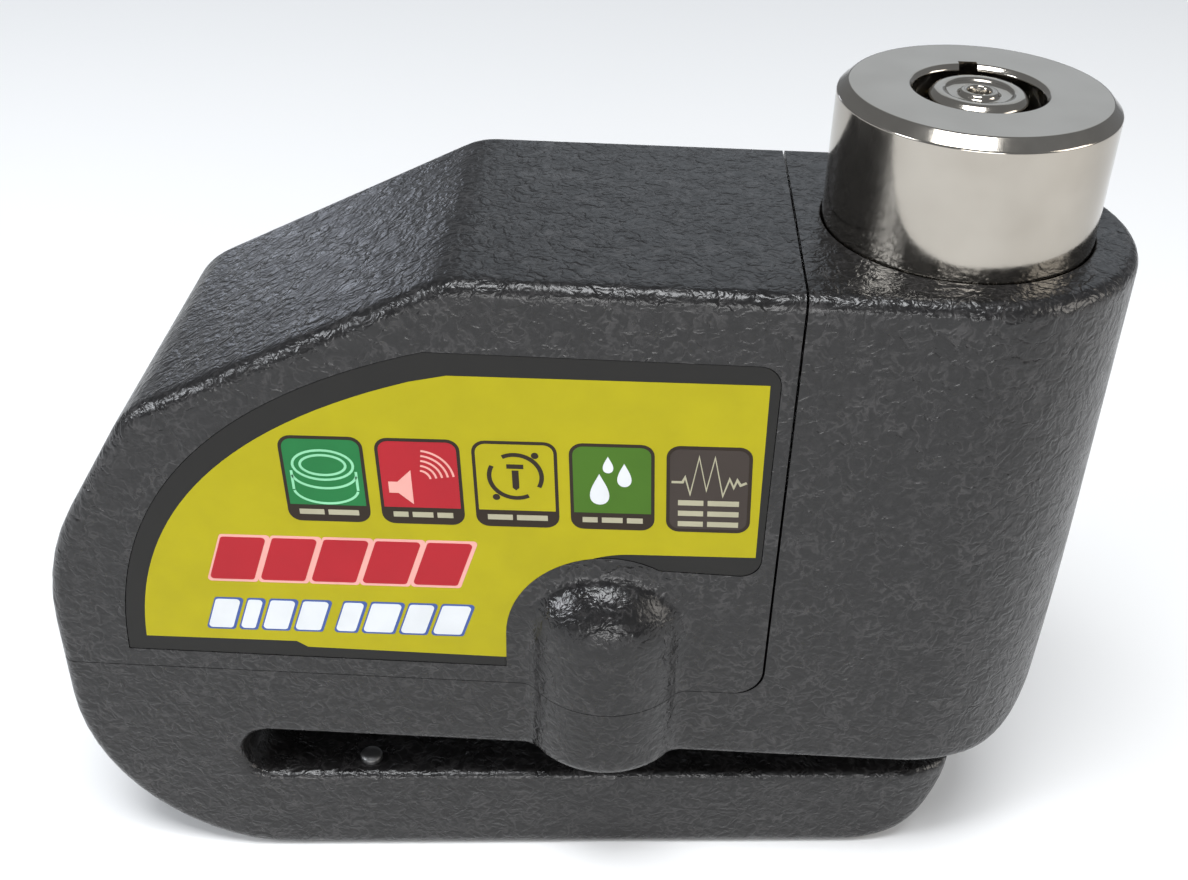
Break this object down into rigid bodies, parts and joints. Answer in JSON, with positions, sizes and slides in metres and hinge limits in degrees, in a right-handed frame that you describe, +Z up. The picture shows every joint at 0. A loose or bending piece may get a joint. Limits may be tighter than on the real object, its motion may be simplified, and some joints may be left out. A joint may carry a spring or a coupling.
{
  "type": "disc brake lock",
  "caption": "Motorcycle disc brake lock with an alarm: slotted die-cast body, screwed-on siren cover, and a push barrel that drives a locking pin across the slot.",
  "frame": {"origin": "middle of the footprint, on the surface the lower jaw stands on", "axes": "+X along the lock towards the barrel, +Y from the label face to the back, +Z up along the barrel"},
  "size_m": [0.1038, 0.0376, 0.0855],
  "materials": {
    "hammered_paint": "charcoal hammered paint over die-cast zinc, glossy",
    "polished_steel": "polished and chromed",
    "steel": "plain bright steel",
    "hardened_steel": "hardened and ground",
    "brass": "plain brass",
    "copper": "enamelled copper winding",
    "rubber": "moulded black rubber",
    "black_plastic": "moulded black plastic",
    "board_laminate": "green solder mask",
    "ceramic": "off-white, semi-matt",
    "label_film": "printed film, satin"
  },
  "bodies": {
    "root": {"main_body": "hammered_paint", "alarm_cover": "hammered_paint", "label_sticker": "label_film", "cover_screw": "steel", "barrel_spring": "steel", "slot_stud": "steel", "shock_sensor": "steel", "board_screw_1": "steel", "board_screw_2": "steel", "battery_1": "steel", "battery_2": "steel", "battery_3": "steel", "battery_4": "steel", "battery_5": "steel", "battery_6": "steel", "guide_rod": "hardened_steel", "roof_bush": "hardened_steel", "jaw_bush": "hardened_steel", "contact_spring_1": "brass", "contact_spring_2": "brass", "contact_bridge": "brass", "cover_gasket": "rubber", "screw_seal": "rubber", "barrel_seal": "rubber", "siren_ring": "rubber", "controller_chip": "black_plastic", "capacitor": "black_plastic", "siren_cup": "black_plastic", "siren_membrane": "black_plastic", "battery_holder": "black_plastic", "switch_body": "black_plastic", "circuit_board": "board_laminate", "inductor": "copper", "piezo_disc": "ceramic"},
    "barrel": {"lock_barrel": "polished_steel", "lock_sleeve": "steel", "plug_retainer": "steel", "bolt_carrier": "steel", "carrier_screw_1": "steel", "carrier_screw_2": "steel", "latch_spring": "steel", "lock_pin": "hardened_steel", "pin_dowel": "hardened_steel"},
    "plug": {"plug_spindle": "polished_steel", "tumbler_pin_1": "brass", "tumbler_pin_2": "brass", "tumbler_pin_3": "brass", "tumbler_pin_4": "brass", "tumbler_pin_5": "brass", "tumbler_pin_6": "brass", "tumbler_pin_7": "brass"},
    "bolt": {"latch_bolt": "hardened_steel"},
    "plunger": {"switch_plunger": "ceramic"}
  },
  "joints": [
    {"name": "barrel_slide", "type": "slide", "parent": "root", "child": "barrel", "axis": [0, 0, -1], "range_m": [0, 0.012], "stiffness_N_per_m": 500, "springref_m": -0.02, "deforming": ["barrel_spring"]},
    {"name": "plug_turn", "type": "hinge", "parent": "barrel", "child": "plug", "pos_m": [0.0352, 0.0021, 0.07], "axis": [0, 0, 1], "range_deg": [0, 90]},
    {"name": "bolt_slide", "type": "slide", "parent": "barrel", "child": "bolt", "axis": [1, 0, 0], "range_m": [0, 0.0019]},
    {"name": "plunger_slide", "type": "slide", "parent": "root", "child": "plunger", "axis": [-1, 0, 0], "range_m": [0, 0.00121]}
  ],
  "couplings": [
    {"joint": "plug_turn", "follows": "bolt_slide", "rad_per_m": 826.73},
    {"joint": "plunger_slide", "follows": "barrel_slide", "ratio": 0.1}
  ]
}
